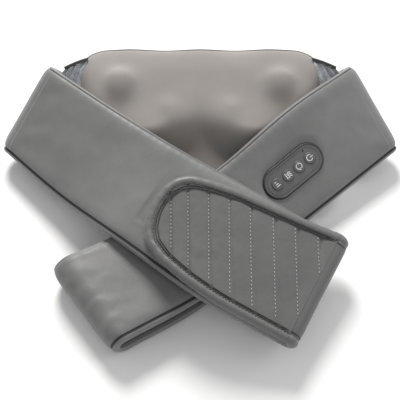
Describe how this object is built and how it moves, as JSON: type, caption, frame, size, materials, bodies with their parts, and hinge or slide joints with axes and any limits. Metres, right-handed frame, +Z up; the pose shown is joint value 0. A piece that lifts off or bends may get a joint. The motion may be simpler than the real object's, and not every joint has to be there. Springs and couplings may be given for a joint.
{
  "type": "shiatsu neck massager",
  "caption": "Padded neck and shoulder kneading massager: a fabric-faced body with rotating heads, and soft arms that cross in front and end in a quilted flap and a hand loop.",
  "frame": {"origin": "centre of the flat back face of the body, which it lies on", "axes": "+Z up out of the kneading face, +X to the right along the body, -Y towards the ends of the crossed arms"},
  "size_m": [0.4806, 0.3609, 0.0947],
  "materials": {
    "cover_leather": "fine-grained, soft satin",
    "stretch_fabric": "smooth stretch knit",
    "mesh_lining": "open mesh",
    "padding": "open-cell foam",
    "hook_tape": "hook tape",
    "housing_plastic": "moulded",
    "plate_plastic": "moulded",
    "head_plastic": "soft-touch",
    "gear_plastic": "moulded",
    "shaft_steel": "ground",
    "screw_steel": "zinc plated",
    "motor_steel": "plated can",
    "bush_brass": "sintered",
    "bearing_plastic": "moulded",
    "cell_wrap": "sleeved cell",
    "case_plastic": "moulded",
    "circuit_board": "solder mask",
    "socket_metal": "plated",
    "heating_foil": "film",
    "panel_rubber": "fine-grained",
    "button_rubber": "smooth, printed icons",
    "switch_plastic": "moulded",
    "lens_plastic": "clear dark"
  },
  "bodies": {
    "cushion": {"rear_cover": "cover_leather", "front_cover": "stretch_fabric", "body_foam": "padding", "mechanism_base": "housing_plastic", "mechanism_cover": "housing_plastic", "housing_screws": "screw_steel", "motor": "motor_steel", "worm_bearings": "bearing_plastic", "output_bushes": "bush_brass", "battery_case": "case_plastic", "battery_cell": "cell_wrap", "drive_board": "circuit_board", "charging_socket": "socket_metal", "heating_film": "heating_foil", "left_shoulder_pad": "mesh_lining", "right_shoulder_pad": "mesh_lining"},
    "motor_shaft": {"worm_shaft": "shaft_steel"},
    "left_rotor": {"left_worm_wheel": "gear_plastic", "left_massage_plate": "plate_plastic", "left_tall_head": "head_plastic", "left_short_head": "head_plastic"},
    "right_rotor": {"right_worm_wheel": "gear_plastic", "right_massage_plate": "plate_plastic", "right_tall_head": "head_plastic", "right_short_head": "head_plastic"},
    "left_arm": {"left_arm_cover": "cover_leather", "left_arm_foam": "padding", "left_shoulder_fold": "cover_leather", "hook_patch": "hook_tape"},
    "right_arm": {"right_arm_cover": "cover_leather", "right_arm_foam": "padding", "right_shoulder_fold": "cover_leather", "loop_under_layer": "cover_leather", "loop_bend": "cover_leather", "control_panel": "panel_rubber", "indicator_lens": "lens_plastic", "control_tray": "case_plastic", "control_board": "circuit_board", "tact_switches": "switch_plastic"},
    "flap": {"quilted_flap": "cover_leather", "flap_fold": "cover_leather"},
    "intensity_key": {"intensity_button": "button_rubber"},
    "heat_key": {"heat_button": "button_rubber"},
    "direction_key": {"direction_button": "button_rubber"},
    "power_key": {"power_button": "button_rubber"}
  },
  "joints": [
    {"name": "left_head_spin", "type": "hinge", "parent": "cushion", "child": "left_rotor", "pos_m": [-0.0655, 0.01842, 0.02645], "axis": [0, -0.1736, 0.9848], "continuous": true},
    {"name": "right_head_spin", "type": "hinge", "parent": "cushion", "child": "right_rotor", "pos_m": [0.0655, 0.01842, 0.02645], "axis": [0, -0.1736, 0.9848], "continuous": true},
    {"name": "motor_spin", "type": "hinge", "parent": "cushion", "child": "motor_shaft", "pos_m": [0, -0.00226, 0.0228], "axis": [1, 0, 0], "continuous": true},
    {"name": "left_arm_fold", "type": "hinge", "parent": "cushion", "child": "left_arm", "pos_m": [-0.16553, 0.0434, 0.08054], "axis": [-0.5164, -0.6628, -0.5423], "range_deg": [0, 110], "deforming": ["left_shoulder_fold"]},
    {"name": "right_arm_fold", "type": "hinge", "parent": "cushion", "child": "right_arm", "pos_m": [0.16608, 0.04384, 0.08052], "axis": [-0.5164, 0.6628, 0.5423], "range_deg": [0, 55], "deforming": ["right_shoulder_fold"]},
    {"name": "flap_fold_hinge", "type": "hinge", "parent": "left_arm", "child": "flap", "pos_m": [0.1534, -0.15768, 0.04423], "axis": [0.4791, 0.871, 0.1089], "range_deg": [0, 150], "deforming": ["flap_fold"]},
    {"name": "intensity_press", "type": "slide", "parent": "right_arm", "child": "intensity_key", "axis": [-0.2181, 0.4857, -0.8465], "range_m": [0, 0.0008], "stiffness_N_per_m": 1900},
    {"name": "heat_press", "type": "slide", "parent": "right_arm", "child": "heat_key", "axis": [-0.2181, 0.4857, -0.8465], "range_m": [0, 0.0008], "stiffness_N_per_m": 1900},
    {"name": "direction_press", "type": "slide", "parent": "right_arm", "child": "direction_key", "axis": [-0.2181, 0.4857, -0.8465], "range_m": [0, 0.0008], "stiffness_N_per_m": 1900},
    {"name": "power_press", "type": "slide", "parent": "right_arm", "child": "power_key", "axis": [-0.2181, 0.4857, -0.8465], "range_m": [0, 0.0008], "stiffness_N_per_m": 1900}
  ],
  "couplings": [
    {"joint": "right_head_spin", "follows": "left_head_spin", "ratio": -1},
    {"joint": "motor_spin", "follows": "left_head_spin", "ratio": 20},
    {"joint": "right_arm_fold", "follows": "left_arm_fold", "ratio": 0.5}
  ]
}
